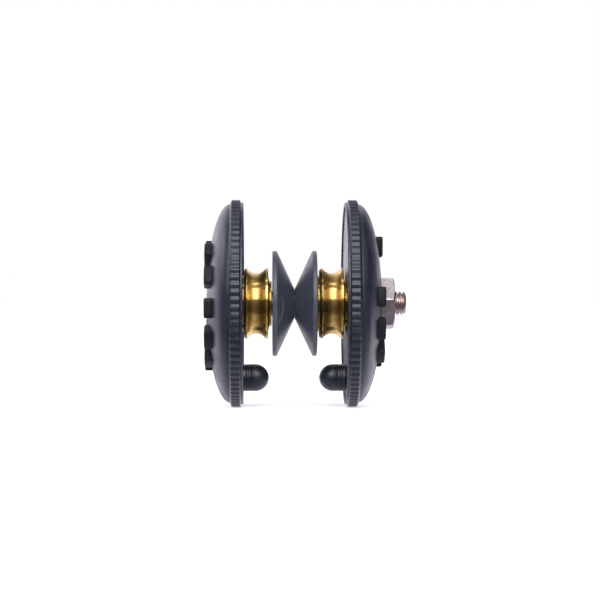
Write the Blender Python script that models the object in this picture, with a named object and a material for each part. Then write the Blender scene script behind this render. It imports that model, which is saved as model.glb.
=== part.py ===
"""Line roller: two domed hand wheels, two grooved brass spools and two cones on one through screw.

Everything is turned about the X axis. The origin is the waist where the two cones meet, +Z is up, and -Y is
the front. Lengths below are in millimetres and angles in degrees, counted from +Z towards the front.
"""

import math

import bmesh
import bpy

MM = 0.001
TAU = 2.0 * math.pi

# Driving dimensions
RUNNING_GAP = 0.15  # radial play of everything that turns on the screw, and between press-together pieces
WHEEL_RADIUS = 20.64  # a 1 5/8 inch hand wheel, over the reeding
WHEEL_INNER_PLANE = {"left": -10.2, "right": 10.0}  # where each wheel's lip ends, facing the spools
SCREW_RADIUS = 2.41  # No. 10 machine screw
NUT_ACROSS_FLATS = 9.525
CONE_RADIUS = 10.5
WAIST_RADIUS = 2.9
SPOOL_RADIUS = 7.1

# Screw and fasteners
SHANK_RADIUS = 2.4
THREAD_PITCH = 0.794
THREAD_DEPTH = 0.46
THREAD_START = 11.0
SCREW_END = 22.2
SCREW_POINT_RADIUS = 1.85
POINT_CHAMFER = 0.35
HEAD_UNDERSIDE = -15.1
HEAD_TOP = -17.5
HEAD_CROWN = ((0.0, 2.9), (0.25, 3.75), (0.75, 4.4), (1.4, 4.7))  # (depth below the top, radius)
DRIVE_DEPTH = 1.3
DRIVE_ARM_LENGTH = 2.3
DRIVE_ARM_WIDTH = 0.95
DRIVE_TAPER = 0.45  # size of the cross at the bottom of the recess, as a share of its size at the top
NUT_INNER_FACE, NUT_OUTER_FACE = 16.7, 19.86
NUT_TURN = 22.0
NUT_CHAMFER_RADIUS = 4.72
NUT_CHAMFER_HEIGHT = 0.5
NUT_THREAD_PLAY = 0.1
WASHER_RADIUS = 5.5
WASHER_THICKNESS = 0.6
HEAD_WASHER_START = -15.0
LOCK_WASHER_RADIUS = 4.25
LOCK_WASHER_THICKNESS = 1.2
LOCK_WASHER_SPRING = 0.1  # half the axial step between its two cut ends
LOCK_WASHER_SLIT = 10.0

# Hand wheel, along U: the distance from the lip's plane towards the outside
REED_COUNT = 88
LIP_RADIUS = 20.15
REED_ROOT_RADIUS = 20.42
REED_START, REED_END = 0.5, 2.5
LIP_CHAMFER = 0.3
DOME_RADIUS = 19.8
DOME_START = 2.62
DOME_HEIGHT = 4.75
DOME_WALL = 1.5
# Where the dome's rings lie outside and inside, as shares of its radius, and where they need all their points
DOME_RINGS_OUTSIDE = (0.995, 0.96, 0.89, 0.78, 0.62, 0.46)
DOME_RINGS_INSIDE = (0.62, 0.8, 0.93)
DOME_FINE_BEYOND = 0.9
POCKET_RADIUS = 6.0
POCKET_FLOOR = 4.1
BOSS_RADIUS = 7.5
OPENING_RADIUS = 19.35
SHOULDER_RADIUS = 18.2
PLATE_FACE, PLATE_BACK = 0.3, 1.9
PLATE_RECESS_FACE, PLATE_RECESS_RADIUS = 0.7, 6.1
PLATE_RADIUS = 19.1
SHOULDER_U = 2.15
BUSH_RADIUS = 3.6
BUSH_INSET = 0.1
PAD_COUNT = 12
PAD_PLANE = 7.65
PAD_ROOT = 5.6
PAD_INNER_RADIUS, PAD_OUTER_RADIUS = 9.4, 13.4
PAD_HALF_ANGLE = 9.0
PAD_TURN = {"left": 4.0, "right": -6.0}
PADS = {"left": range(1, PAD_COUNT), "right": (0, 3, 4, 5, 7, 8, 9)}

# Peg that stands on each wheel's inner plate
PEG_CIRCLE_RADIUS = 14.8
PEG_RADIUS = 2.7
PEG_TIP_U = -5.15
PEG_TIP_ANGLES = (12.0, 30.0, 48.0, 66.0, 90.0)
PEG_NECK_RADIUS = 1.6
PEG_BARB_RADIUS = 2.2
PEG_BARB_END_RADIUS = 1.0
PEG_BARB_END = 3.1

# Spool, along U from its left flange
SPOOL_LEFT_FLANGE = {"left": -10.1, "right": 4.9}
SPOOL_BOSS_RADIUS, SPOOL_BOSS_LENGTH = 5.6, 0.3
SPOOL_FACE_RADIUS = 6.7
SPOOL_WIDTH = 4.82
SPOOL_CHAMFER = 0.1
LEFT_LAND_START, GROOVE_START, GROOVE_END = 0.53, 0.65, 4.3
GROOVE_DEPTH = 1.03
SPOOL_HUB_RADIUS = 4.5
SPOOL_HUB_START, SPOOL_HUB_END = 5.22, 5.5

# Cones
CONE_BACK = 4.4
CONE_RIM_WIDTH = 0.84
CONE_NOSE = 0.08

BORE_RADIUS = SHANK_RADIUS + RUNNING_GAP

# Material name: (colour, roughness, metallic)
FINISHES = {
    "wheel_plastic": ((0.028, 0.031, 0.045), 0.45, 0.0),
    "cone_plastic": ((0.045, 0.049, 0.062), 0.35, 0.0),
    "peg_rubber": ((0.012, 0.015, 0.024), 0.4, 0.0),
    "brass": ((0.72, 0.47, 0.16), 0.12, 1.0),
    "nickel": ((0.56, 0.52, 0.5), 0.2, 1.0),
}


def clear_scene():
    for obj in list(bpy.data.objects):
        bpy.data.objects.remove(obj)


def finish_material(name):
    found = bpy.data.materials.get(name)
    if found:
        return found
    colour, roughness, metallic = FINISHES[name]
    material = bpy.data.materials.new(name)
    material.use_nodes = True
    shader = material.node_tree.nodes["Principled BSDF"]
    shader.inputs["Base Color"].default_value = (*colour, 1.0)
    shader.inputs["Roughness"].default_value = roughness
    shader.inputs["Metallic"].default_value = metallic
    return material


def point(x, radius, angle):
    """A point at this distance from the X axis; angle in radians from +Z towards the front."""
    return (x * MM, -radius * MM * math.sin(angle), radius * MM * math.cos(angle))


def ring(bm, x, radii):
    count = len(radii)
    return [bm.verts.new(point(x, radius, TAU * k / count)) for k, radius in enumerate(radii)]


def stitch(bm, a, b):
    """Faces between two rings that hold as many points, or one twice as many as the other."""
    if len(a) > len(b):
        a, b = b, a
    count = len(a)
    for k in range(count):
        after = (k + 1) % count
        if len(b) == count:
            bm.faces.new((a[k], a[after], b[after], b[k]))
            continue
        first, middle, last = b[2 * k], b[2 * k + 1], b[(2 * k + 2) % len(b)]
        bm.faces.new((a[k], middle, first))
        bm.faces.new((a[k], a[after], middle))
        bm.faces.new((a[after], last, middle))


def to_object(bm, name, finish):
    bmesh.ops.recalc_face_normals(bm, faces=bm.faces)
    mesh = bpy.data.meshes.new(name)
    bm.to_mesh(mesh)
    bm.free()
    mesh.materials.append(finish_material(finish))
    mesh.shade_smooth()
    mesh.set_sharp_from_angle(angle=math.radians(35.0))
    obj = bpy.data.objects.new(name, mesh)
    bpy.context.scene.collection.objects.link(obj)
    return obj


def lathe(name, finish, rings, hollow):
    """A turned solid from (x, radii) rings: hollow and closed on its first ring, or full with flat ends."""
    bm = bmesh.new()
    made = [ring(bm, x, radii) for x, radii in rings]
    for a, b in zip(made, made[1:]):
        stitch(bm, a, b)
    if hollow:
        stitch(bm, made[-1], made[0])
    else:
        bm.faces.new(made[0])
        bm.faces.new(made[-1])
    return to_object(bm, name, finish)


def turned(name, finish, profile, segments, hollow=True):
    """A turned solid whose (x, radius) profile has the same number of points all the way round."""
    return lathe(name, finish, [(x, [radius] * segments) for x, radius in profile], hollow)


def prism(name, finish, outline, x_start, x_end, end_scale=1.0):
    """A solid with this (y, z) outline, along X; end_scale shrinks its far end."""
    bm = bmesh.new()
    near = [bm.verts.new((x_start * MM, y * MM, z * MM)) for y, z in outline]
    far = [bm.verts.new((x_end * MM, y * end_scale * MM, z * end_scale * MM)) for y, z in outline]
    bm.faces.new(near)
    bm.faces.new(far)
    for k in range(len(outline)):
        after = (k + 1) % len(outline)
        bm.faces.new((near[k], near[after], far[after], far[k]))
    return to_object(bm, name, finish)


def combine(obj, tool, operation):
    """A Boolean with a helper that stays out of the render."""
    tool.hide_render = True
    tool.display_type = "WIRE"
    modifier = obj.modifiers.new(tool.name, "BOOLEAN")
    modifier.operation = operation
    modifier.object = tool
    modifier.solver = "EXACT"


def arc(centre_x, centre_r, radius, start, end, steps):
    """(x, r) points on an arc, with angles in degrees from +X."""
    angles = [math.radians(start + (end - start) * k / steps) for k in range(steps + 1)]
    return [(centre_x + radius * math.cos(a), centre_r + radius * math.sin(a)) for a in angles]


def wheel_x(side, u):
    """X of a point this far outside a wheel's lip plane."""
    outward = -1.0 if side == "left" else 1.0
    return WHEEL_INNER_PLANE[side] + outward * u


def dome_u(radius, wall=0.0):
    """How far out the dome's surface is at this radius, or a parallel inner one a wall's thickness below."""
    reach = DOME_RADIUS - wall
    return DOME_START + (DOME_HEIGHT - wall) * math.sqrt(max(0.0, 1.0 - (radius / reach) ** 2))


def wheel_shell(side):
    """Domed shell with a reeded rim, a round pocket for the fastener and a central boss."""
    coarse, fine = REED_COUNT // 2, REED_COUNT
    reeds = [REED_ROOT_RADIUS if k % 2 == 0 else WHEEL_RADIUS for k in range(2 * REED_COUNT)]
    bore = BUSH_RADIUS + RUNNING_GAP

    rings = [(0.0, [OPENING_RADIUS] * coarse)]
    rings += [(0.0, [LIP_RADIUS - LIP_CHAMFER] * coarse)]
    rings += [(LIP_CHAMFER, [LIP_RADIUS] * fine)]
    rings += [(REED_START, reeds), (REED_END, reeds)]
    rings += [(DOME_START, [DOME_RADIUS] * fine)]
    for share in DOME_RINGS_OUTSIDE:
        count = fine if share > DOME_FINE_BEYOND else coarse
        rings.append((dome_u(share * DOME_RADIUS), [share * DOME_RADIUS] * count))
    rings += [(dome_u(POCKET_RADIUS), [POCKET_RADIUS] * coarse)]
    rings += [(POCKET_FLOOR, [POCKET_RADIUS] * coarse), (POCKET_FLOOR, [bore] * coarse)]
    rings += [(SHOULDER_U, [bore] * coarse), (SHOULDER_U, [BOSS_RADIUS] * coarse)]
    rings += [(dome_u(BOSS_RADIUS, DOME_WALL), [BOSS_RADIUS] * coarse)]
    for share in DOME_RINGS_INSIDE:
        rings.append((dome_u(share * DOME_RADIUS, DOME_WALL), [share * DOME_RADIUS] * coarse))
    rings += [(SHOULDER_U, [SHOULDER_RADIUS] * coarse), (SHOULDER_U, [OPENING_RADIUS] * coarse)]
    placed = [(wheel_x(side, u), radii) for u, radii in rings]
    shell = lathe(f"{side}_wheel_shell", "wheel_plastic", placed, hollow=True)
    combine(shell, grip_pads(side), "UNION")
    return shell


def grip_pads(side):
    """Raised pads in a ring on the dome, their tops in one plane."""
    bm = bmesh.new()
    for place in PADS[side]:
        centre = TAU * place / PAD_COUNT + math.radians(PAD_TURN[side])
        half = math.radians(PAD_HALF_ANGLE)
        inner = [(PAD_INNER_RADIUS, centre + half * s) for s in (-1.0, 0.0, 1.0)]
        outer = [(PAD_OUTER_RADIUS, centre + half * s) for s in (1.0, 0.0, -1.0)]
        root = [bm.verts.new(point(wheel_x(side, PAD_ROOT), r, a)) for r, a in inner + outer]
        top = [bm.verts.new(point(wheel_x(side, PAD_PLANE), r, a)) for r, a in inner + outer]
        bm.faces.new(root)
        bm.faces.new(top)
        for k in range(len(root)):
            after = (k + 1) % len(root)
            bm.faces.new((root[k], root[after], top[after], top[k]))
    return to_object(bm, f"{side}_pads_tool", "wheel_plastic")


def wheel_plate(side):
    """Disc that closes the shell, sunk round the bush to clear the spool, with a hole for the peg."""
    bore = BUSH_RADIUS + RUNNING_GAP
    face, back = wheel_x(side, PLATE_FACE), wheel_x(side, PLATE_BACK)
    sunk = wheel_x(side, PLATE_RECESS_FACE)
    profile = [(sunk, bore), (sunk, PLATE_RECESS_RADIUS), (face, PLATE_RECESS_RADIUS)]
    profile += [(face, PLATE_RADIUS), (back, PLATE_RADIUS), (back, bore)]
    plate = turned(f"{side}_wheel_plate", "wheel_plastic", profile, 44)
    hole_radius = PEG_NECK_RADIUS + RUNNING_GAP
    sides = 20
    outline = [
        (hole_radius * math.cos(TAU * k / sides), hole_radius * math.sin(TAU * k / sides) - PEG_CIRCLE_RADIUS)
        for k in range(sides)
    ]
    ends = sorted((wheel_x(side, PLATE_FACE - 1.0), wheel_x(side, PLATE_BACK + 1.0)))
    combine(plate, prism(f"{side}_peg_hole_tool", "wheel_plastic", outline, *ends), "DIFFERENCE")
    return plate


def wheel_bush(side):
    """Tube that the wheel turns on."""
    inner, outer = wheel_x(side, PLATE_RECESS_FACE + BUSH_INSET), wheel_x(side, POCKET_FLOOR - BUSH_INSET)
    profile = [(inner, BORE_RADIUS), (inner, BUSH_RADIUS), (outer, BUSH_RADIUS), (outer, BORE_RADIUS)]
    return turned(f"{side}_wheel_bush", "brass", profile, 36)


def peg(side):
    """Push-in rubber peg with a round end, a neck through the plate and a barb behind it."""
    round_start = PEG_TIP_U + PEG_RADIUS
    tip = [
        (round_start - PEG_RADIUS * math.cos(math.radians(a)), PEG_RADIUS * math.sin(math.radians(a)))
        for a in PEG_TIP_ANGLES
    ]
    base = PLATE_FACE - RUNNING_GAP
    barb = PLATE_BACK + RUNNING_GAP
    profile = tip + [(base, PEG_RADIUS), (base, PEG_NECK_RADIUS), (barb, PEG_NECK_RADIUS)]
    profile += [(barb, PEG_BARB_RADIUS), (PEG_BARB_END, PEG_BARB_END_RADIUS)]
    placed = [(wheel_x(side, u), radius) for u, radius in profile]
    made = turned(f"{side}_peg", "peg_rubber", placed, 24, hollow=False)
    made.location.z = -PEG_CIRCLE_RADIUS * MM
    return made


def spool(side):
    """Brass spool: a short boss, two flanges with a round groove between them, and a hub."""
    chord = GROOVE_END - GROOVE_START
    radius = (chord * chord / 4.0 + GROOVE_DEPTH * GROOVE_DEPTH) / (2.0 * GROOVE_DEPTH)
    half_angle = math.degrees(math.asin(chord / 2.0 / radius))
    middle = (GROOVE_START + GROOVE_END) / 2.0
    centre_r = SPOOL_RADIUS - GROOVE_DEPTH + radius
    groove = arc(middle, centre_r, radius, 270.0 - half_angle, 270.0 + half_angle, 8)

    profile = [(-SPOOL_BOSS_LENGTH, BORE_RADIUS), (-SPOOL_BOSS_LENGTH, SPOOL_BOSS_RADIUS)]
    profile += [(0.0, SPOOL_BOSS_RADIUS), (0.0, SPOOL_FACE_RADIUS), (LEFT_LAND_START, SPOOL_RADIUS)]
    profile += groove
    profile += [(SPOOL_WIDTH - SPOOL_CHAMFER, SPOOL_RADIUS), (SPOOL_WIDTH, SPOOL_RADIUS - SPOOL_CHAMFER)]
    profile += [(SPOOL_WIDTH, SPOOL_BOSS_RADIUS), (SPOOL_HUB_START, SPOOL_HUB_RADIUS)]
    profile += [(SPOOL_HUB_END, SPOOL_HUB_RADIUS), (SPOOL_HUB_END, BORE_RADIUS)]
    placed = [(SPOOL_LEFT_FLANGE[side] + u, r) for u, r in profile]
    return turned(f"{side}_spool", "brass", placed, 40)


def cone(side):
    """Cone with a flat back, a narrow rim and its nose at the waist."""
    outward = -1.0 if side == "left" else 1.0
    profile = [(CONE_BACK, BORE_RADIUS), (CONE_BACK, CONE_RADIUS), (CONE_BACK - CONE_RIM_WIDTH, CONE_RADIUS)]
    profile += [(CONE_NOSE, WAIST_RADIUS), (CONE_NOSE, BORE_RADIUS)]
    placed = [(outward * x, r) for x, r in profile]
    return turned(f"{side}_cone", "cone_plastic", placed, 56)


def thread_radius(x, angle):
    """Radius of the threaded end at this place, fading in over one pitch from the plain shank."""
    phase = (x / THREAD_PITCH - angle / TAU) % 1.0
    crest = 1.0 - abs(2.0 * phase - 1.0)
    threaded = SCREW_RADIUS - THREAD_DEPTH + THREAD_DEPTH * crest
    fade = min(1.0, max(0.0, (x - THREAD_START) / THREAD_PITCH))
    return SHANK_RADIUS + (threaded - SHANK_RADIUS) * fade


def cross_outline(length, width):
    """(y, z) outline of a cross whose four arms are this long and wide."""
    half = width / 2.0
    outline = []
    for quarter in range(4):
        cosine, sine = math.cos(quarter * TAU / 4.0), math.sin(quarter * TAU / 4.0)
        for y, z in ((length, -half), (length, half), (half, half)):
            outline.append((y * cosine - z * sine, y * sine + z * cosine))
    return outline


def screw():
    """Pan-head machine screw, head at the left, thread at the right."""
    segments = 24
    head = [(HEAD_TOP + depth, radius) for depth, radius in HEAD_CROWN]
    head += [(HEAD_UNDERSIDE, head[-1][1]), (HEAD_UNDERSIDE, SHANK_RADIUS)]
    rings = [(x, [radius] * segments) for x, radius in head]
    thread_end = SCREW_END - POINT_CHAMFER
    rows = round((thread_end - THREAD_START) / (THREAD_PITCH / 4.0))
    for row in range(rows + 1):
        x = THREAD_START + (thread_end - THREAD_START) * row / rows
        rings.append((x, [thread_radius(x, TAU * k / segments) for k in range(segments)]))
    rings.append((SCREW_END, [SCREW_POINT_RADIUS] * segments))
    made = lathe("screw", "nickel", rings, hollow=False)
    cross = cross_outline(DRIVE_ARM_LENGTH, DRIVE_ARM_WIDTH)
    bottom = HEAD_TOP + DRIVE_DEPTH
    combine(made, prism("drive_tool", "nickel", cross, HEAD_TOP - 0.5, bottom, DRIVE_TAPER), "DIFFERENCE")
    return made


def nut():
    """Hexagon nut with chamfered corners."""
    bore = SCREW_RADIUS + NUT_THREAD_PLAY
    corner_radius = NUT_ACROSS_FLATS / math.sqrt(3.0)
    wide = corner_radius + 0.3
    profile = [(NUT_INNER_FACE, bore), (NUT_INNER_FACE, NUT_CHAMFER_RADIUS)]
    profile += [(NUT_INNER_FACE + NUT_CHAMFER_HEIGHT, wide), (NUT_OUTER_FACE - NUT_CHAMFER_HEIGHT, wide)]
    profile += [(NUT_OUTER_FACE, NUT_CHAMFER_RADIUS), (NUT_OUTER_FACE, bore)]
    made = turned("nut", "nickel", profile, 48)
    corners = [math.radians(NUT_TURN + 60.0 * k) for k in range(6)]
    outline = [(-corner_radius * math.sin(a), corner_radius * math.cos(a)) for a in corners]
    hexagon = prism("hexagon_tool", "nickel", outline, NUT_INNER_FACE - 1.0, NUT_OUTER_FACE + 1.0)
    combine(made, hexagon, "INTERSECT")
    return made


def flat_washer(name, x_start):
    x_end = x_start + WASHER_THICKNESS
    profile = [(x_start, BORE_RADIUS), (x_start, WASHER_RADIUS), (x_end, WASHER_RADIUS), (x_end, BORE_RADIUS)]
    return turned(name, "nickel", profile, 40)


def lock_washer(x_middle):
    """Split spring washer: a ring of rectangular section, cut once, its two ends a little apart along X."""
    steps = 30
    bm = bmesh.new()
    half = LOCK_WASHER_THICKNESS / 2.0
    sections = []
    for step in range(steps + 1):
        share = step / steps
        angle = math.radians(LOCK_WASHER_SLIT / 2.0 + (360.0 - LOCK_WASHER_SLIT) * share)
        x = x_middle + LOCK_WASHER_SPRING * (2.0 * share - 1.0)
        corners = [(x - half, BORE_RADIUS), (x - half, LOCK_WASHER_RADIUS)]
        corners += [(x + half, LOCK_WASHER_RADIUS), (x + half, BORE_RADIUS)]
        sections.append([bm.verts.new(point(cx, r, angle)) for cx, r in corners])
    for a, b in zip(sections, sections[1:]):
        for k in range(4):
            after = (k + 1) % 4
            bm.faces.new((a[k], a[after], b[after], b[k]))
    bm.faces.new(sections[0])
    bm.faces.new(sections[-1])
    return to_object(bm, "lock_washer", "nickel")


def build():
    clear_scene()
    screw()
    nut()
    flat_washer("head_washer", HEAD_WASHER_START)
    nut_washer_x = wheel_x("right", POCKET_FLOOR) + RUNNING_GAP
    flat_washer("nut_washer", nut_washer_x)
    lock_washer((nut_washer_x + WASHER_THICKNESS + NUT_INNER_FACE) / 2.0)
    for side in ("left", "right"):
        wheel_shell(side)
        wheel_plate(side)
        wheel_bush(side)
        peg(side)
        spool(side)
        cone(side)


build()
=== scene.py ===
"""Looks for the line roller: turned and moulded pieces, their finishes, a pale floor and studio light."""

import math

import bmesh
import bpy
import numpy as np
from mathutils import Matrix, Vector


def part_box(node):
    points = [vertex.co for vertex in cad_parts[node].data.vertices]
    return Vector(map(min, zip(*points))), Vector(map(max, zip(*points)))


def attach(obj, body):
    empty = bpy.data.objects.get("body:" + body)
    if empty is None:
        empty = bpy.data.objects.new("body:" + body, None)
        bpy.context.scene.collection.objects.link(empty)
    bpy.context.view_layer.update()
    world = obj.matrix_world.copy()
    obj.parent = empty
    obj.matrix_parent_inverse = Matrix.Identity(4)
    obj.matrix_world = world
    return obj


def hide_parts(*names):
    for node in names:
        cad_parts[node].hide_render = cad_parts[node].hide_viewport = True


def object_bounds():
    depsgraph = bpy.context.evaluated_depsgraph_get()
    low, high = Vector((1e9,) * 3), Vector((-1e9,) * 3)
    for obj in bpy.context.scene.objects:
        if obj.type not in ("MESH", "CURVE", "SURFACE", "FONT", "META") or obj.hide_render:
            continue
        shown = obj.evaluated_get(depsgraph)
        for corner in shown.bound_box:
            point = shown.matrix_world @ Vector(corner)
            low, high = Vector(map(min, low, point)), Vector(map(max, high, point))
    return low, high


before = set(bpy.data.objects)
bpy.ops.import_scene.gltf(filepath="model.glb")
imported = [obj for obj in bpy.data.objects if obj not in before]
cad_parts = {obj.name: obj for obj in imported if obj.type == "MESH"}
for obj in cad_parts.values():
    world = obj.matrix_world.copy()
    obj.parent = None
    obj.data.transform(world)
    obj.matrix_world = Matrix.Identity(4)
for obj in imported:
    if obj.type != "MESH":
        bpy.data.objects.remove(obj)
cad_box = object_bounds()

MM = 0.001
TAU = 2.0 * math.pi
SIDES = ("left", "right")

# Shape detail that the frame's boxes don't give, in millimetres
FILLET = 0.12
FILLET_STEPS = 4
ROUND_STEPS = 192
RUNNING_GAP = 0.15
BORE_RADIUS = 2.55

# Wheel, along U: the distance from the lip's plane towards the outside
REED_COUNT = 88
REED_STEPS = 10  # points around one reed
LIP_RADIUS = 20.15
REED_ROOT_RADIUS = 20.45
REED_SHARPNESS = 0.97  # 0 for a sine wave, 1 for straight flanks
REED_START, REED_END = 0.5, 2.5
DOME_RADIUS, DOME_START, DOME_HEIGHT = 19.8, 2.62, 4.75
DOME_STEPS = 22
DOME_WALL = 1.5
POCKET_RADIUS, POCKET_FLOOR = 6.0, 4.1
BOSS_RADIUS = 7.5
OPENING_RADIUS, SHOULDER_RADIUS, SHOULDER_U = 19.35, 18.2, 2.15
PAD_COUNT = 12
PAD_ROOT = 5.6
PAD_MIDDLE, PAD_HALF_LENGTH, PAD_HALF_ANGLE = 11.4, 2.0, 9.0
PAD_TURN = {"left": 4.0, "right": -6.0}
PADS = {"left": range(1, PAD_COUNT), "right": (0, 3, 4, 5, 7, 8, 9)}
PAD_STEPS = (-1.0, -0.97, -0.91, -0.82, -0.66, -0.4, -0.13, 0.13, 0.4, 0.66, 0.82, 0.91, 0.97, 1.0)
PAD_EDGE_DROP, PAD_DIMPLE_DEPTH, PAD_DIMPLE_SPREAD = 0.25, 0.16, 0.18
PAD_CORNER_PULL = 0.08  # how far a pad's corners are drawn in, as a share of its half size

# Disc inside the lip: how deep it is sunk round the bush, and how far out
RECESS_DEPTH, RECESS_RADIUS = 0.4, 6.1

# Peg, along U
PEG_CIRCLE_RADIUS = 14.8
PEG_HOLE_RADIUS = 1.75
PEG_NECK_RADIUS, PEG_BARB_RADIUS, PEG_BARB_END_RADIUS = 1.6, 2.2, 1.0
PEG_RING_PLACES = (-0.5, -0.95, -1.4)
PEG_RING_DEPTH = 0.045
PEG_RING_SHAPE = ((-0.1, 0.0), (-0.04, 0.7), (0.0, 1.0), (0.04, 0.7), (0.1, 0.0))  # (along U, share of depth)

# Spool, along U from its left flange
SPOOL_BOSS_LENGTH, SPOOL_BOSS_RADIUS, SPOOL_FACE_RADIUS = 0.3, 5.6, 6.7
SPOOL_WIDTH = 4.82
LEFT_LAND_START, GROOVE_START, GROOVE_END = 0.53, 0.65, 4.3
GROOVE_DEPTH = 1.03
SPOOL_HUB_RADIUS, SPOOL_HUB_START = 4.5, 5.05

# Cone
CONE_RIM_WIDTH = 0.84
WAIST_RADIUS = 2.9
NOSE_GAP = 0.02  # from each nose to the waist

# Screw and nut
THREAD_PITCH, THREAD_DEPTH, THREAD_START = 0.794, 0.46, 11.0
THREAD_RADIUS, SHANK_RADIUS = 2.41, 2.4
THREAD_ROWS = 12  # rings along one pitch
POINT_LENGTH, POINT_RADIUS = 0.55, 1.85
HEAD_CROWN_RADIUS, HEAD_CROWN_DEPTH, HEAD_DEPTH = 2.9, 1.4, 2.4
DRIVE_DEPTH, DRIVE_ARM_LENGTH, DRIVE_ARM_WIDTH, DRIVE_TAPER = 1.3, 2.3, 0.95, 0.45
NUT_TURN, NUT_ACROSS_FLATS, NUT_CHAMFER_RADIUS, NUT_CHAMFER_HEIGHT = 22.0, 9.525, 4.72, 0.5
NUT_FACE_RADIUS, NUT_CORNER_SOFTNESS = 3.8, 0.035
LOCK_WASHER_SLIT, LOCK_WASHER_THICKNESS = 10.0, 1.2

# Finishes: sizes of their patterns and depths of their relief, in millimetres
CLOUD_SIZE, WEAR_PATCH_SIZE = 5.0, 0.9
SINK_SIZE, SINK_DEPTH = 2.2, 0.02
TARNISH_SIZE, DENT_SIZE = 2.6, 0.9
RING_STRETCH = 40.0  # how much longer a turned line is than it is wide
# Colour of the painted shade in the reed valleys
VALLEY_SHADE = (0.002, 0.003, 0.006)

# A painted highlight on the left cone's front, a fine light curved line: part of a circle in the XZ plane,
# between two heights
GLINT_ARC_CENTRE, GLINT_ARC_RADIUS, GLINT_ARC_HALF_WIDTH = (-8.79, -0.53), 6.44, (0.03, 0.09)
GLINT_ARC_FRONT, GLINT_ARC_TOP, GLINT_ARC_BOTTOM = (-1.0, -0.5), (-0.2, 1.8), (-4.4, -3.6)
GLINT_ARC_COLOUR, GLINT_ARC_STRENGTH = (0.22, 0.22, 0.24), 0.8

# Camera: where it stands and what it looks at, in metres
CAMERA_PLACE = (-0.007, -0.428, 0.0007)
CAMERA_TARGET = (0.0011, 0.0, 0.0007)
CAMERA_LENS = 128.5

# Studio: brightness of the surroundings at each angle about X, from the front horizon upwards, in degrees
SURROUNDINGS = (
    (-180, 0.15), (-176.5, 0.2), (-173, 1.1), (-140, 0.9), (-120, 0.8), (-100, 0.9), (-85, 0.85),
    (-70, 0.5), (-56, 0.6), (-47, 0.5), (-38, 0.22), (-25, 0.14), (-10, 0.2), (5, 0.26), (14, 0.34),
    (22, 0.75), (58, 0.75), (68, 0.45), (76, 0.7), (84, 0.7), (92, 0.4), (104, 0.25), (116, 0.3),
    (132, 0.7), (150, 1.1), (180, 1.1),
)
SURROUNDINGS_TINT = (0.97, 0.95, 1.07)

# Changes to the surroundings, each fading in between two values of a direction's X, Y or Z
LOW_LEFT_X, LOW_LEFT_Z, LOW_LEFT_LEVEL = (-0.6, -0.1), (-0.2, 0.0), 0.7
BEHIND_X, BEHIND_Y, BEHIND_GAIN = (0.15, 0.4), (0.0, 0.3), 0.45
END_X, END_HIGH_Z, END_LOW_Z = (0.7, 0.95), (0.0, 0.6), (-0.6, -0.1)
END_HIGH_LEVELS, END_LOW_LEVELS = (0.1, 0.7), (0.8, 0.0)
DARK_RIGHT_X, DARK_RIGHT_Y, DARK_RIGHT_Z, DARK_RIGHT_LOSS = (0.2, 0.5), (0.1, 0.4), (-0.08, 0.03), 0.92

# Softboxes: name, elevation, azimuth, height and width in degrees as seen from the object, and radiance
SOFTBOXES = (
    ("key", 39.0, 0.0, 44.0, 54.0, 4.0),
    ("key_top", 80.0, 0.0, 8.0, 54.0, 2.0),
    ("left_window", 28.0, -108.0, 26.0, 22.0, 2.2),
)
SOFTBOX_DISTANCE = 0.75
FLOOR_HALF_WIDTH, FLOOR_GLOW = 12.0, 0.54


# ---------------------------------------------------------------- shapes


def mesh_object(name, vertices, faces, edge_wear):
    """A smooth mesh object from points in millimetres, with a wear value for each point; values below zero
    mark painted shade.
    """
    mesh = bpy.data.meshes.new(name)
    mesh.from_pydata(np.asarray(vertices, float) * MM, [], faces)
    wear = mesh.attributes.new("wear", "FLOAT", "POINT")
    wear.data.foreach_set("value", np.asarray(edge_wear, np.float32))
    work = bmesh.new()
    work.from_mesh(mesh)
    bmesh.ops.recalc_face_normals(work, faces=work.faces)
    work.to_mesh(mesh)
    work.free()
    obj = bpy.data.objects.new(name, mesh)
    bpy.context.scene.collection.objects.link(obj)
    return smooth(obj)


def smooth(obj):
    obj.data.shade_smooth()
    obj.data.set_sharp_from_angle(angle=math.radians(40.0))
    return obj


def filleted(profile, radius=FILLET):
    """A closed profile of (x, r, fillet) points with its corners rounded; the fillet may be left out."""
    points = [Vector(p[:2]) for p in profile]
    sizes = [p[2] if len(p) > 2 else radius for p in profile]
    out = []
    for k, here in enumerate(points):
        before, after = points[k - 1] - here, points[(k + 1) % len(points)] - here
        size = min(sizes[k], before.length * 0.45, after.length * 0.45)
        if size < 1e-4:
            out.append((here.x, here.y, 0.0))
            continue
        a, b = here + before.normalized() * size, here + after.normalized() * size
        for step in range(FILLET_STEPS + 1):
            t = step / FILLET_STEPS
            spot = a * (1 - t) ** 2 + here * 2 * t * (1 - t) + b * t ** 2
            out.append((spot.x, spot.y, 4.0 * t * (1.0 - t)))
    return out


def lathe(name, profile, segments=ROUND_STEPS, closed=True, shape=None, centre_z=0.0):
    """Turns (x, r, wear) points about the X axis; shape(x, r, angles) may change radius and wear."""
    angles = np.arange(segments) * TAU / segments
    vertices, wear = [], []
    for x, r, worn in profile:
        radii, extra = (np.full(segments, r), 0.0) if shape is None else shape(x, r, angles)
        around = [np.full(segments, x), -radii * np.sin(angles), radii * np.cos(angles) + centre_z]
        vertices.append(np.stack(around, axis=1))
        wear.append(np.full(segments, worn) + extra)
    rows = len(profile)
    faces = []
    for i in range(rows if closed else rows - 1):
        a, b = i * segments, ((i + 1) % rows) * segments
        for k in range(segments):
            n = (k + 1) % segments
            faces.append((a + k, a + n, b + n, b + k))
    if not closed:
        faces.append(tuple(range(segments)))
        faces.append(tuple(range((rows - 1) * segments, rows * segments)))
    return mesh_object(name, np.concatenate(vertices), faces, np.concatenate(wear))


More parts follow.
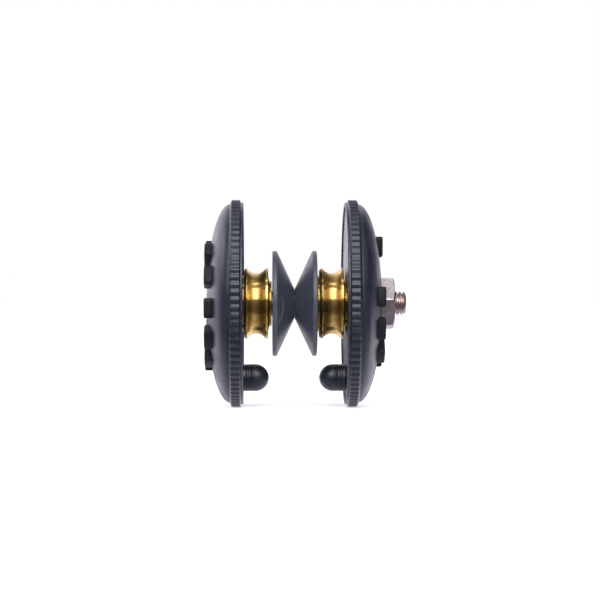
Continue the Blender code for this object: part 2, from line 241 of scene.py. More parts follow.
def prism(outline, x_start, x_end, end_scale=1.0):
    """A cutter with this (y, z) outline, along X, in millimetres; end_scale shrinks its far end."""
    near = [(x_start, y, z) for y, z in outline]
    far = [(x_end, y * end_scale, z * end_scale) for y, z in outline]
    count = len(outline)
    faces = [tuple(range(count)), tuple(range(count, 2 * count))]
    faces += [(k, (k + 1) % count, count + (k + 1) % count, count + k) for k in range(count)]
    return mesh_object("cutter", near + far, faces, np.zeros(2 * count))


def cut(obj, cutter):
    """Takes the cutter away from the object and removes it."""
    modifier = obj.modifiers.new("cut", "BOOLEAN")
    modifier.operation = "DIFFERENCE"
    modifier.solver = "EXACT"
    modifier.object = cutter
    depsgraph = bpy.context.evaluated_depsgraph_get()
    mesh = bpy.data.meshes.new_from_object(obj.evaluated_get(depsgraph), depsgraph=depsgraph)
    obj.modifiers.clear()
    obj.data = mesh
    bpy.data.objects.remove(cutter)
    return smooth(obj)


def box_mm(node):
    low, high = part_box(node)
    return low / MM, high / MM


def wheel_x(side):
    """A function from U, the distance outwards from a wheel's lip plane, to X."""
    low, high = box_mm(f"{side}_wheel_shell")
    return (lambda u: high.x - u) if side == "left" else (lambda u: low.x + u)


def wheel_depth(side):
    low, high = box_mm(f"{side}_wheel_shell")
    return high.x - low.x


def dome(wall, start_radius, end_radius):
    """(u, r) points on the dome's outer surface, or on a parallel one a wall's thickness inside it."""
    reach, height = DOME_RADIUS - wall, DOME_HEIGHT - wall
    start, end = math.acos(start_radius / reach), math.acos(end_radius / reach)
    turns = [start + (end - start) * k / DOME_STEPS for k in range(DOME_STEPS + 1)]
    return [(DOME_START + height * math.sin(a), reach * math.cos(a), 0.0) for a in turns]


def ramp(value, low, high):
    """0 below low, 1 above high, and a smooth rise between them."""
    t = min(1.0, max(0.0, (value - low) / (high - low)))
    return t * t * (3.0 - 2.0 * t)


def reeded(side):
    """A lathe shape that raises round reeds on the rim, fading out at both ends; it gives the crests wear and
    a painted highlight, and the valleys painted shade.
    """
    place = wheel_x(side)
    crest = box_mm(f"{side}_wheel_shell")[1].z / math.cos(math.pi / REED_COUNT)

    def shape(x, r, angles):
        u = abs(x - place(0.0))
        if r < LIP_RADIUS - 0.1:
            return np.full(len(angles), r), 0.0
        rise = ramp(u, REED_START - 0.05, REED_START + 0.2)
        rise *= 1.0 - ramp(u, REED_END - 0.25, DOME_START)
        wave = np.arcsin(REED_SHARPNESS * np.cos(REED_COUNT * angles)) / math.asin(REED_SHARPNESS)
        ridge = 0.5 - 0.5 * wave
        radii = r + rise * (REED_ROOT_RADIUS - LIP_RADIUS + (crest - REED_ROOT_RADIUS) * ridge)
        # Wear value: above zero on the crests, lightened partly as wear and partly as a painted highlight;
        # below zero in the valleys, for painted shade
        return radii, rise * (0.8 * ridge ** 4 - 0.6 * (1.0 - ridge) ** 2)

    return shape


def wheel_dome(side):
    """Domed shell with a reeded rim, a smooth lip, a pocket for the fastener and a boss for the bush."""
    bore = box_mm(f"{side}_wheel_bush")[1].z + RUNNING_GAP
    lip = [(0.0, OPENING_RADIUS, 0.1), (0.0, LIP_RADIUS - 0.1, 0.1), (0.2, LIP_RADIUS, 0.1)]
    spans = ((0.45, 0.75, 6), (1.1, 2.0, 3), (2.25, 2.58, 7))
    band = np.concatenate([np.linspace(*span) for span in spans])
    reeds = [(u, LIP_RADIUS, 0.0) for u in band]
    outside = dome(0.0, DOME_RADIUS * 0.9998, POCKET_RADIUS)
    outside[-1] = (*outside[-1][:2], 0.35)
    pocket = [(POCKET_FLOOR, POCKET_RADIUS, 0.3), (POCKET_FLOOR, bore, 0.1), (SHOULDER_U, bore, 0.1)]
    inside = [(SHOULDER_U, BOSS_RADIUS, 0.2)] + dome(DOME_WALL, BOSS_RADIUS, SHOULDER_RADIUS * 0.999)
    shoulder = [(SHOULDER_U, SHOULDER_RADIUS, 0.0), (SHOULDER_U, OPENING_RADIUS, 0.1)]
    place = wheel_x(side)
    profile = [(place(u), r, f) for u, r, f in lip + reeds + outside + pocket + inside + shoulder]
    return lathe(f"{side}_wheel_dome", filleted(profile), REED_COUNT * REED_STEPS, shape=reeded(side))


def wheel_pads(side):
    """Raised pads in a ring on the dome: rounded blocks with a shallow dimple."""
    place, plane = wheel_x(side), wheel_depth(side)
    count = len(PAD_STEPS)
    border = [(0, j) for j in range(count)] + [(i, count - 1) for i in range(1, count)]
    border += [(count - 1, j) for j in range(count - 2, -1, -1)] + [(i, 0) for i in range(count - 2, 0, -1)]
    vertices, faces, wear = [], [], []
    for number in PADS[side]:
        centre = TAU * number / PAD_COUNT + math.radians(PAD_TURN[side])
        first = len(vertices)

        def spot(s, t, u):
            radius = PAD_MIDDLE + PAD_HALF_LENGTH * (s * (1.0 - PAD_CORNER_PULL * t ** 6))
            angle = centre + math.radians(PAD_HALF_ANGLE) * (t * (1.0 - PAD_CORNER_PULL * s ** 6))
            return (place(u), -radius * math.sin(angle), radius * math.cos(angle))

        for s in PAD_STEPS:
            for t in PAD_STEPS:
                edge = min(1.0, max(0.0, ((s ** 10 + t ** 10) ** 0.1 - 0.8) / 0.2))
                drop = PAD_EDGE_DROP * (1.0 - math.sqrt(1.0 - edge * edge))
                drop += PAD_DIMPLE_DEPTH * math.exp(-(s * s + t * t) / PAD_DIMPLE_SPREAD)
                vertices.append(spot(s, t, plane - drop))
                wear.append(4.0 * edge * (1.0 - edge))
        for i in range(count - 1):
            for j in range(count - 1):
                a = first + i * count + j
                faces.append((a, a + 1, a + count + 1, a + count))
        root = len(vertices)
        for i, j in border:
            vertices.append(spot(PAD_STEPS[i], PAD_STEPS[j], PAD_ROOT))
            wear.append(0.0)
        for k, (i, j) in enumerate(border):
            after = (k + 1) % len(border)
            ai, aj = border[after]
            faces.append((first + i * count + j, root + k, root + after, first + ai * count + aj))
        faces.append(tuple(range(root, root + len(border))))
    return mesh_object(f"{side}_wheel_pads", vertices, faces, wear)


def wheel_disc(side):
    """Disc inside the lip, sunk round the bush to clear the spool, with a hole for the peg."""
    low, high = box_mm(f"{side}_wheel_plate")
    face, back = (high.x, low.x) if side == "left" else (low.x, high.x)
    out = math.copysign(1.0, back - face)
    bore = box_mm(f"{side}_wheel_bush")[1].z + RUNNING_GAP
    sunk = face + RECESS_DEPTH * out
    profile = [(sunk, bore, 0.15), (sunk, RECESS_RADIUS, 0.15), (face, RECESS_RADIUS + 0.1, 0.15)]
    profile += [(face, high.z, 0.15), (back, high.z, 0.1), (back, bore, 0.1)]
    disc = lathe(f"{side}_wheel_disc", filleted(profile))
    turns = np.arange(48) * TAU / 48
    hole = [(PEG_HOLE_RADIUS * math.cos(a), PEG_HOLE_RADIUS * math.sin(a) - PEG_CIRCLE_RADIUS) for a in turns]
    return cut(disc, prism(hole, low.x - 1.0, high.x + 1.0))


def axle_tube(side):
    """Brass tube that the wheel turns on."""
    low, high = box_mm(f"{side}_wheel_bush")
    profile = [(low.x, BORE_RADIUS), (low.x, high.z), (high.x, high.z), (high.x, BORE_RADIUS)]
    return lathe(f"{side}_axle_tube", filleted(profile))


def rubber_peg(side):
    """Push-in peg: a round end, faint rings near its foot, and a neck and barb inside the wheel."""
    low, high = box_mm(f"{side}_peg")
    radius = (high.z - low.z) / 2.0
    tip, barb_end = (high.x, low.x) if side == "left" else (low.x, high.x)
    out = math.copysign(1.0, barb_end - tip)
    plate_low, plate_high = box_mm(f"{side}_wheel_plate")
    face, back = (plate_high.x, plate_low.x) if side == "left" else (plate_low.x, plate_high.x)
    foot, barb = face - RUNNING_GAP * out, back + RUNNING_GAP * out
    round_middle = tip + radius * out
    turns = [math.radians(a) for a in range(3, 91, 3)]
    profile = [(round_middle - radius * math.cos(a) * out, radius * math.sin(a), 0.0) for a in turns]
    place = wheel_x(side)
    for u in sorted(PEG_RING_PLACES):
        for offset, depth in PEG_RING_SHAPE:
            profile.append((place(u + offset), radius - PEG_RING_DEPTH * depth, 0.0))
    profile += [(foot - 0.1 * out, radius, 0.4), (foot, radius - 0.1, 0.4)]
    profile += [(foot, PEG_NECK_RADIUS, 0.0), (barb, PEG_NECK_RADIUS, 0.0)]
    profile += [(barb, PEG_BARB_RADIUS - 0.1, 0.2), (barb + 0.1 * out, PEG_BARB_RADIUS, 0.2)]
    profile += [(barb_end, PEG_BARB_END_RADIUS, 0.0)]
    return lathe(f"{side}_rubber_peg", profile, 96, closed=False, centre_z=(low.z + high.z) / 2.0)


def brass_spool(side):
    """Turned spool: a short boss, two flanges with a round groove between them, and a hub."""
    low, high = box_mm(f"{side}_spool")
    flange = low.x + SPOOL_BOSS_LENGTH
    rim = high.z
    chord = GROOVE_END - GROOVE_START
    radius = (chord * chord / 4.0 + GROOVE_DEPTH * GROOVE_DEPTH) / (2.0 * GROOVE_DEPTH)
    half = math.asin(chord / 2.0 / radius)
    middle = (GROOVE_START + GROOVE_END) / 2.0
    floor_radius = rim - GROOVE_DEPTH
    turns = np.linspace(-half, half, 33)
    groove = [(middle + radius * math.sin(a), floor_radius + radius * (1 - math.cos(a)), 0.0) for a in turns]
    groove[0], groove[-1] = (*groove[0][:2], 0.06), (*groove[-1][:2], 0.06)
    profile = [(-SPOOL_BOSS_LENGTH, BORE_RADIUS, 0.08), (-SPOOL_BOSS_LENGTH, SPOOL_BOSS_RADIUS, 0.08)]
    profile += [(0.0, SPOOL_BOSS_RADIUS, 0.05), (0.0, SPOOL_FACE_RADIUS, 0.15)]
    profile += [(LEFT_LAND_START, rim, 0.08)] + groove
    profile += [(SPOOL_WIDTH, rim, 0.12), (SPOOL_WIDTH, SPOOL_BOSS_RADIUS, 0.08)]
    profile += [(SPOOL_HUB_START, SPOOL_HUB_RADIUS, 0.1), (high.x - flange, SPOOL_HUB_RADIUS, 0.08)]
    profile += [(high.x - flange, BORE_RADIUS, 0.08)]
    return lathe(f"{side}_brass_spool", filleted([(flange + u, r, f) for u, r, f in profile]), 256)


def plastic_cone(side):
    """Cone with a flat back, a narrow rim and its nose at the waist."""
    low, high = box_mm(f"{side}_cone")
    back, nose = (low.x, high.x) if side == "left" else (high.x, low.x)
    inward = math.copysign(1.0, nose - back)
    profile = [(back, BORE_RADIUS, 0.1), (back, high.z, 0.16)]
    profile += [(back + CONE_RIM_WIDTH * inward, high.z, 0.14)]
    nose -= (abs(nose) - NOSE_GAP) * math.copysign(1.0, nose)
    profile += [(nose, WAIST_RADIUS, 0.1), (nose, BORE_RADIUS, 0.05)]
    corners = filleted(profile)
    rows = []
    for a, b in zip(corners, corners[1:] + corners[:1]):
        rows.append(a)
        parts = int(math.dist(a[:2], b[:2]) / 0.8)
        for k in range(1, parts + 1):
            rows.append(tuple(a[i] + (b[i] - a[i]) * k / (parts + 1) for i in range(3)))
    return lathe(f"{side}_plastic_cone", rows, 256)


def thread_shape(point_x):
    """A lathe shape that turns a helical thread on the screw and tapers its point."""
    def shape(x, r, angles):
        if x < THREAD_START:
            return np.full(len(angles), r), 0.0
        phase = (x / THREAD_PITCH - angles / TAU) % 1.0
        crest = np.clip((1.0 - np.abs(2.0 * phase - 1.0) - 0.14) / 0.7, 0.0, 1.0)
        threaded = THREAD_RADIUS - THREAD_DEPTH * (1.0 - crest)
        fade = min(1.0, (x - THREAD_START) / THREAD_PITCH)
        taper = POINT_RADIUS + (point_x - x) * (THREAD_RADIUS + 0.2 - POINT_RADIUS) / POINT_LENGTH
        radii = np.minimum(SHANK_RADIUS + (threaded - SHANK_RADIUS) * fade, taper)
        return radii, 0.7 * fade * crest ** 4
    return shape


def cross_outline(length, width):
    """(y, z) outline of a cross whose four arms are this long and wide."""
    half = width / 2.0
    outline = []
    for quarter in range(4):
        cosine, sine = math.cos(quarter * TAU / 4.0), math.sin(quarter * TAU / 4.0)
        for y, z in ((length, -half), (length, half), (half, half)):
            outline.append((y * cosine - z * sine, y * sine + z * cosine))
    return outline


def machine_screw():
    """Pan-head screw with a cross recess and a cut thread."""
    low, high = box_mm("screw")
    top, head_radius = low.x, high.z
    profile = []
    for k in range(11):
        a = math.radians(9.0 * k)
        reach = HEAD_CROWN_RADIUS + (head_radius - HEAD_CROWN_RADIUS) * math.sin(a)
        profile.append((top + HEAD_CROWN_DEPTH * (1.0 - math.cos(a)), reach, 0.2 * math.sin(2.0 * a)))
    under = top + HEAD_DEPTH
    profile += [(under - 0.08, head_radius, 0.6), (under, head_radius - 0.08, 0.6)]
    profile += [(under, SHANK_RADIUS, 0.0)]
    rows = round((high.x - THREAD_START) / THREAD_PITCH * THREAD_ROWS)
    profile += [(x, SHANK_RADIUS, 0.0) for x in np.linspace(THREAD_START, high.x, rows + 1)]
    made = lathe("machine_screw", profile, 96, closed=False, shape=thread_shape(high.x))
    cross = cross_outline(DRIVE_ARM_LENGTH, DRIVE_ARM_WIDTH)
    return cut(made, prism(cross, top - 0.5, top + DRIVE_DEPTH, DRIVE_TAPER))


def hexagon_shape(x, r, angles):
    """A lathe shape that holds the radius inside a hexagon with slightly rounded corners."""
    flat = NUT_ACROSS_FLATS / 2.0
    total = np.exp(-np.full(len(angles), r) / NUT_CORNER_SOFTNESS)
    for k in range(6):
        reach = np.cos(angles - math.radians(NUT_TURN + 30.0 + 60.0 * k))
        near = np.exp(-flat / np.maximum(reach, 0.2) / NUT_CORNER_SOFTNESS)
        total += np.where(reach > 0.2, near, 0.0)
    radii = np.minimum(r, -NUT_CORNER_SOFTNESS * np.log(total))
    corner = np.clip((radii - flat - 0.4) / 0.3, 0.0, 1.0)
    return radii, corner


def hex_nut():
    """Hexagon nut, chamfered on both faces."""
    low, high = box_mm("nut")
    start, end = low.x, high.x
    bore = THREAD_RADIUS + 0.1
    widest = NUT_ACROSS_FLATS / math.sqrt(3.0) + 0.25
    chamfer = [(NUT_CHAMFER_RADIUS + (widest - NUT_CHAMFER_RADIUS) * t, NUT_CHAMFER_HEIGHT * t)
               for t in np.linspace(0.0, 1.0, 10)]
    profile = [(start + 0.3, bore, 0.0), (start, bore + 0.3, 0.3), (start, NUT_FACE_RADIUS, 0.0)]
    profile += [(start + depth, r, 0.2) for r, depth in chamfer]
    sides = np.linspace(start + NUT_CHAMFER_HEIGHT, end - NUT_CHAMFER_HEIGHT, 6)[1:-1]
    profile += [(x, widest, 0.0) for x in sides]
    profile += [(end - depth, r, 0.2) for r, depth in reversed(chamfer)]
    profile += [(end, NUT_FACE_RADIUS, 0.0), (end, bore + 0.3, 0.3), (end - 0.3, bore, 0.0)]
    return lathe("hex_nut", profile, 384, shape=hexagon_shape)


def flat_washer(name, node):
    low, high = box_mm(node)
    profile = [(low.x, BORE_RADIUS, 0.1), (low.x, high.z, 0.08)]
    profile += [(high.x, high.z, 0.16), (high.x, BORE_RADIUS, 0.1)]
    return lathe(name, filleted(profile), 128)


def split_washer():
    """Spring washer: a ring of square section, cut once, its two ends a little apart along X."""
    low, high = box_mm("lock_washer")
    half = LOCK_WASHER_THICKNESS / 2.0
    section = filleted([(-half, BORE_RADIUS), (-half, high.z), (half, high.z), (half, BORE_RADIUS)], 0.1)
    spring = (high.x - low.x) / 2.0 - half
    middle = (low.x + high.x) / 2.0
    steps, count = 150, len(section)
    vertices, wear = [], []
    for step in range(steps + 1):
        share = step / steps
        a = math.radians(LOCK_WASHER_SLIT / 2.0 + (360.0 - LOCK_WASHER_SLIT) * share)
        x = middle + spring * (2.0 * share - 1.0)
        vertices += [(x + dx, -r * math.sin(a), r * math.cos(a)) for dx, r, _ in section]
        wear += [worn for _, _, worn in section]
    faces = [tuple(range(count)), tuple(range(steps * count, (steps + 1) * count))]
    for step in range(steps):
        for k in range(count):
            a, b = step * count + k, step * count + (k + 1) % count
            faces.append((a, b, b + count, a + count))
    return mesh_object("split_washer", vertices, faces, wear)


# ---------------------------------------------------------------- finishes


def add(tree, kind, inputs=None, **settings):
    """A new node with its settings, its inputs given as values or as other nodes' sockets."""
    node = tree.nodes.new("ShaderNode" + kind)
    for name, value in settings.items():
        setattr(node, name, value)
    for name, value in (inputs or {}).items():
        if isinstance(value, bpy.types.NodeSocket):
            tree.links.new(value, node.inputs[name])
        else:
            node.inputs[name].default_value = value
    return node


def calc(tree, operation, a, b=0.0):
    return add(tree, "Math", {0: a, 1: b}, operation=operation).outputs[0]


def length(tree, a, b):
    """The length of a vector with these two components."""
    squares = calc(tree, "ADD", calc(tree, "MULTIPLY", a, a), calc(tree, "MULTIPLY", b, b))
    return calc(tree, "SQRT", squares)


def spread(tree, value, low, high, to_low=0.0, to_high=1.0):
    """Maps low..high to another range along a smooth step."""
    inputs = {"Value": value, "From Min": low, "From Max": high, "To Min": to_low, "To Max": to_high}
    return add(tree, "MapRange", inputs, interpolation_type="SMOOTHSTEP").outputs[0]


def noise(tree, vector, size_mm, detail=3.0, roughness=0.55):
    """Noise whose features are this large."""
    inputs = {"Vector": vector, "Scale": 1.0 / (size_mm * MM), "Detail": detail, "Roughness": roughness}
    return add(tree, "TexNoise", inputs).outputs[0]


def mix(tree, factor, a, b):
    node = add(tree, "Mix", {0: factor}, data_type="RGBA")
    for socket, value in ((node.inputs[6], a), (node.inputs[7], b)):
        if isinstance(value, bpy.types.NodeSocket):
            tree.links.new(value, socket)
        else:
            socket.default_value = (*value, 1.0)
    return node.outputs[2]


def new_finish(name, **shader_values):
    """A material with a Principled shader, and the object's own coordinates."""
    material = bpy.data.materials.new(name)
    material.use_nodes = True
    tree = material.node_tree
    shader = tree.nodes["Principled BSDF"]
    for socket, value in shader_values.items():
        shader.inputs[socket.replace("_", " ")].default_value = value
    place = add(tree, "TexCoord").outputs["Object"]
    return material, tree, shader, place


def edge_wear(tree, place, low, high):
    """Worn edges: the mesh's wear value, broken up by noise."""
    wear = add(tree, "Attribute", attribute_name="wear").outputs["Fac"]
    patches = spread(tree, noise(tree, place, WEAR_PATCH_SIZE), 0.3, 0.7, 0.4, 1.0)
    return spread(tree, calc(tree, "MULTIPLY", wear, patches), low, high)


def bump(tree, shader, *heights):
    """Adds up (height socket, depth in millimetres) pairs into the shader's normal."""
    normal = None
    for height, depth in heights:
        inputs = {"Height": height, "Distance": depth * MM, "Strength": 1.0}
        if normal is not None:
            inputs["Normal"] = normal
        normal = add(tree, "Bump", inputs).outputs[0]
    tree.links.new(normal, shader.inputs["Normal"])


def moulded(name, dark, light, worn, roughness, grain_mm, grain_depth, **shader_values):
    """Moulded plastic or rubber: cloudy colour, fine grain, painted shade in hollows, and pale, smooth worn
    edges.
    """
    material, tree, shader, place = new_finish(name, **shader_values)
    cloud = noise(tree, place, CLOUD_SIZE, 4.0)
    grain = noise(tree, place, grain_mm, 2.0)
    sink = noise(tree, place, SINK_SIZE, 1.0)
    wear = edge_wear(tree, place, 0.35, 0.95)
    valley_shade = add(tree, "Attribute", attribute_name="wear").outputs["Fac"]
    body = mix(tree, spread(tree, cloud, 0.3, 0.7), dark, light)
    # Painted shade: points with a wear value below zero, the reed valleys, are darkened towards the valley
    # shade colour
    body = mix(tree, spread(tree, valley_shade, -0.6, 0.0, 0.7, 0.0), body, VALLEY_SHADE)
    tree.links.new(mix(tree, calc(tree, "MULTIPLY", wear, 0.6), body, worn), shader.inputs["Base Color"])
    rough = calc(tree, "ADD", spread(tree, cloud, 0.3, 0.7, roughness - 0.05, roughness + 0.06),
                 spread(tree, grain, 0.3, 0.7, -0.03, 0.04))
    rough = calc(tree, "SUBTRACT", rough, calc(tree, "MULTIPLY", wear, 0.08))
    tree.links.new(rough, shader.inputs["Roughness"])
    bump(tree, shader, (grain, grain_depth), (sink, SINK_DEPTH))
    return material


def turned_metal(name, colour, tarnish, bright, roughness, line_mm, line_depth, dent_depth, **shader_values):
    """Turned metal: fine rings about the X axis, small dents, cloudy tarnish and brighter worn edges."""
    material, tree, shader, place = new_finish(name, Metallic=1.0, **shader_values)
    axes = add(tree, "SeparateXYZ", {0: place})
    x, y, z = axes.outputs
    along = calc(tree, "MULTIPLY", calc(tree, "ADD", x, length(tree, y, z)), RING_STRETCH)
    ringed = add(tree, "CombineXYZ", {0: along, 1: y, 2: z}).outputs[0]
    lines = noise(tree, ringed, line_mm * RING_STRETCH, 3.0, 0.7)
    cloud = noise(tree, place, TARNISH_SIZE, 5.0, 0.6)
    wear = edge_wear(tree, place, 0.3, 0.9)
    body = mix(tree, spread(tree, cloud, 0.42, 0.72, 0.0, 0.6), colour, tarnish)
    body = mix(tree, spread(tree, lines, 0.45, 0.75, 0.0, 0.35), body, tarnish)
    tree.links.new(mix(tree, calc(tree, "MULTIPLY", wear, 0.7), body, bright), shader.inputs["Base Color"])
    rough = calc(tree, "ADD", spread(tree, cloud, 0.3, 0.7, roughness - 0.03, roughness + 0.06),
                 spread(tree, lines, 0.3, 0.7, -0.02, 0.03))
    tree.links.new(rough, shader.inputs["Roughness"])
    bump(tree, shader, (lines, line_depth), (noise(tree, place, DENT_SIZE, 2.0), dent_depth))
    if "Anisotropic" in shader_values:
        around = add(tree, "Tangent", direction_type="RADIAL", axis="X").outputs[0]
        tree.links.new(around, shader.inputs["Tangent"])
    return material


def with_painted_glint(finish):
    """Adds a painted highlight, a fine light curved line, to the finish on the left cone."""
    tree = finish.node_tree
    shader = tree.nodes["Principled BSDF"]
    x, y, z = add(tree, "SeparateXYZ", {0: add(tree, "TexCoord").outputs["Object"]}).outputs
    across = calc(tree, "SUBTRACT", x, GLINT_ARC_CENTRE[0] * MM)
    up = calc(tree, "SUBTRACT", z, GLINT_ARC_CENTRE[1] * MM)
    away = calc(tree, "ABSOLUTE", calc(tree, "SUBTRACT", length(tree, across, up), GLINT_ARC_RADIUS * MM))
    line = spread(tree, away, GLINT_ARC_HALF_WIDTH[0] * MM, GLINT_ARC_HALF_WIDTH[1] * MM, 1.0, 0.0)
    limits = ((y, GLINT_ARC_FRONT, 1.0, 0.0), (z, GLINT_ARC_TOP, 1.0, 0.0), (z, GLINT_ARC_BOTTOM, 0.0, 1.0))
    for value, (low, high), to_low, to_high in limits:
        line = calc(tree, "MULTIPLY", line, spread(tree, value, low * MM, high * MM, to_low, to_high))
    body = shader.inputs["Base Color"].links[0].from_socket
    glinted_body = mix(tree, calc(tree, "MULTIPLY", line, GLINT_ARC_STRENGTH), body, GLINT_ARC_COLOUR)
    tree.links.new(glinted_body, shader.inputs["Base Color"])
    return finish


def finishes():
    return {
        # The wheel's pale worn colour lightens the reed crests: partly wear, partly a painted highlight
        "wheel": moulded("wheel_finish", (0.006, 0.009, 0.019), (0.011, 0.014, 0.026), (0.09, 0.09, 0.12),
                         0.34, 0.16, 0.006),
        "disc": moulded("disc_finish", (0.013, 0.017, 0.028), (0.019, 0.023, 0.035), (0.075, 0.078, 0.095),
                        0.24, 0.3, 0.003),
        # The pads are the wheel's own plastic; their darker finish is painted shade
        "pads": moulded("pad_shaded_finish", (0.006, 0.005, 0.008), (0.010, 0.009, 0.012), (0.03, 0.027, 0.034),
                        0.5, 0.22, 0.02, Specular_IOR_Level=0.22),
        # The cone finish carries a painted highlight: a fine light curved line on the left cone's front
        "cone": with_painted_glint(moulded("cone_finish", (0.042, 0.048, 0.068), (0.054, 0.060, 0.079),
                                  (0.12, 0.12, 0.14), 0.36, 0.2, 0.004)),
        "peg": moulded("peg_finish", (0.010, 0.013, 0.022), (0.016, 0.019, 0.029), (0.05, 0.055, 0.07),
                       0.32, 0.14, 0.004),
        "brass": turned_metal("brass_finish", (0.77, 0.52, 0.16), (0.55, 0.31, 0.09), (0.95, 0.76, 0.42),
                              0.25, 0.05, 0.0012, 0.001, Anisotropic=0.95, Anisotropic_Rotation=0.25),
        "nickel": turned_metal("nickel_finish", (0.40, 0.355, 0.36), (0.12, 0.09, 0.10), (0.85, 0.80, 0.78),
                               0.28, 0.09, 0.004, 0.035),
        "screw": turned_metal("screw_finish", (0.58, 0.46, 0.45), (0.34, 0.25, 0.25), (0.85, 0.75, 0.73),
                              0.30, 0.05, 0.003, 0.01),
    }


# ---------------------------------------------------------------- stage


def studio_world():
    """Soft surroundings whose brightness changes with the angle about X; to the camera they are white."""
    world = bpy.data.worlds.new("studio")
    world.use_nodes = True
    bpy.context.scene.world = world
    tree = world.node_tree
    tree.nodes.clear()
    x, y, z = add(tree, "SeparateXYZ", {0: add(tree, "TexCoord").outputs["Generated"]}).outputs
    radians = calc(tree, "ARCTAN2", z, calc(tree, "MULTIPLY", y, -1.0))
    ramp_node = add(tree, "ValToRGB", {0: calc(tree, "ADD", calc(tree, "DIVIDE", radians, TAU), 0.5)})
    stops = ramp_node.color_ramp.elements
    while len(stops) < len(SURROUNDINGS):
        stops.new(0.5)
    for stop, (angle, level) in zip(stops, SURROUNDINGS):
        stop.position = angle / 360.0 + 0.5
        stop.color = (level, level, level, 1.0)
    level = ramp_node.outputs[0]
    low_left = spread(tree, x, *LOW_LEFT_X, LOW_LEFT_LEVEL, 1.0)
    level = calc(tree, "MULTIPLY", level, calc(tree, "MAXIMUM", spread(tree, z, *LOW_LEFT_Z), low_left))
    sideways = calc(tree, "ABSOLUTE", x)
    behind = spread(tree, y, *BEHIND_Y, 0.0, BEHIND_GAIN)
    level = calc(tree, "ADD", level, calc(tree, "MULTIPLY", spread(tree, sideways, *BEHIND_X), behind))
    ends = spread(tree, sideways, *END_X)
    end_level = calc(tree, "ADD", spread(tree, z, *END_HIGH_Z, *END_HIGH_LEVELS),
                     spread(tree, z, *END_LOW_Z, *END_LOW_LEVELS))
    level = calc(tree, "ADD", calc(tree, "MULTIPLY", level, calc(tree, "SUBTRACT", 1.0, ends)),
                 calc(tree, "MULTIPLY", end_level, ends))
    dark = calc(tree, "MULTIPLY", spread(tree, x, *DARK_RIGHT_X), spread(tree, y, *DARK_RIGHT_Y))
    dark = calc(tree, "MULTIPLY", dark, spread(tree, z, *DARK_RIGHT_Z))
    kept = calc(tree, "SUBTRACT", 1.0, calc(tree, "MULTIPLY", dark, DARK_RIGHT_LOSS))
    level = calc(tree, "MULTIPLY", level, kept)
    surroundings = add(tree, "Background", {"Color": (*SURROUNDINGS_TINT, 1.0), "Strength": level})
    plain = add(tree, "Background", {"Color": (1.0, 1.0, 1.0, 1.0), "Strength": 1.0})
    seen = add(tree, "LightPath").outputs["Is Camera Ray"]
    mixed = add(tree, "MixShader", {0: seen, 1: surroundings.outputs[0], 2: plain.outputs[0]})
    add(tree, "OutputWorld", {"Surface": mixed.outputs[0]})


def softbox(name, elevation, azimuth, height_angle, width_angle, radiance):
    """An area light aimed at the origin that spans these angles, in degrees, as seen from there."""
    light = bpy.data.lights.new(name, "AREA")
    light.shape = "RECTANGLE"
    light.size = 2.0 * SOFTBOX_DISTANCE * math.tan(math.radians(width_angle / 2.0))
    light.size_y = 2.0 * SOFTBOX_DISTANCE * math.tan(math.radians(height_angle / 2.0))
    light.energy = radiance * math.pi * light.size * light.size_y
    lamp = bpy.data.objects.new(name, light)
    e, a = math.radians(elevation), math.radians(azimuth)
    towards = Vector((math.cos(e) * math.sin(a), -math.cos(e) * math.cos(a), math.sin(e)))
    lamp.location = towards * SOFTBOX_DISTANCE
    lamp.rotation_euler = towards.to_track_quat("Z", "Y").to_euler()
    lamp.visible_camera = False
    bpy.context.scene.collection.objects.link(lamp)


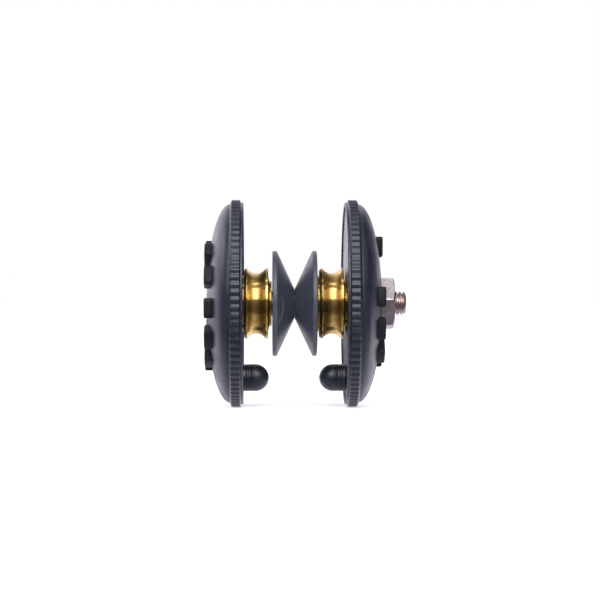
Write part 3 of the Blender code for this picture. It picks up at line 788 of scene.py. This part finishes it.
def floor():
    """Pale floor under the wheels, which glows a little so that it stays as pale as the surroundings."""
    level = cad_box[0][2]
    half = FLOOR_HALF_WIDTH
    corners = [(-half, -half, level), (half, -half, level), (half, half, level), (-half, half, level)]
    mesh = bpy.data.meshes.new("floor")
    mesh.from_pydata(corners, [], [(0, 1, 2, 3)])
    obj = bpy.data.objects.new("floor", mesh)
    bpy.context.scene.collection.objects.link(obj)
    material, tree, shader, place = new_finish("floor_finish", Roughness=1.0, Specular_IOR_Level=0.0)
    shade = mix(tree, spread(tree, noise(tree, place, 40.0), 0.3, 0.7), (0.9, 0.9, 0.9), (0.92, 0.92, 0.92))
    tree.links.new(shade, shader.inputs["Base Color"])
    shader.inputs["Emission Color"].default_value = (1.0, 1.0, 1.0, 1.0)
    shader.inputs["Emission Strength"].default_value = FLOOR_GLOW
    mesh.materials.append(material)
    obj.visible_glossy = False


def camera():
    data = bpy.data.cameras.new("camera")
    data.lens = CAMERA_LENS
    data.sensor_width = 36.0
    data.clip_start = 0.01
    obj = bpy.data.objects.new("camera", data)
    obj.location = CAMERA_PLACE
    view = Vector(CAMERA_TARGET) - Vector(CAMERA_PLACE)
    obj.rotation_euler = view.to_track_quat("-Z", "Y").to_euler()
    bpy.context.scene.collection.objects.link(obj)
    bpy.context.scene.camera = obj


# ---------------------------------------------------------------- assembly


def finish_piece(obj, material, body, node):
    obj.data.materials.clear()
    obj.data.materials.append(material)
    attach(obj, body)
    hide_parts(node)


def build():
    looks = finishes()
    for side in SIDES:
        wheel = f"{side}_wheel"
        finish_piece(wheel_dome(side), looks["wheel"], wheel, f"{side}_wheel_shell")
        finish_piece(wheel_pads(side), looks["pads"], wheel, f"{side}_wheel_shell")
        finish_piece(wheel_disc(side), looks["disc"], wheel, f"{side}_wheel_plate")
        finish_piece(rubber_peg(side), looks["peg"], wheel, f"{side}_peg")
        finish_piece(axle_tube(side), looks["brass"], "screw_body", f"{side}_wheel_bush")
        finish_piece(brass_spool(side), looks["brass"], f"{side}_spool", f"{side}_spool")
        finish_piece(plastic_cone(side), looks["cone"], f"{side}_cone", f"{side}_cone")
    finish_piece(machine_screw(), looks["screw"], "screw_body", "screw")
    finish_piece(hex_nut(), looks["nickel"], "screw_body", "nut")
    for place in ("head", "nut"):
        washer = flat_washer(f"{place}_flat_washer", f"{place}_washer")
        finish_piece(washer, looks["nickel"], "screw_body", f"{place}_washer")
    finish_piece(split_washer(), looks["nickel"], "screw_body", "lock_washer")


build()
studio_world()
for settings in SOFTBOXES:
    softbox(*settings)
floor()
camera()
bpy.context.scene.view_settings.view_transform = "Standard"
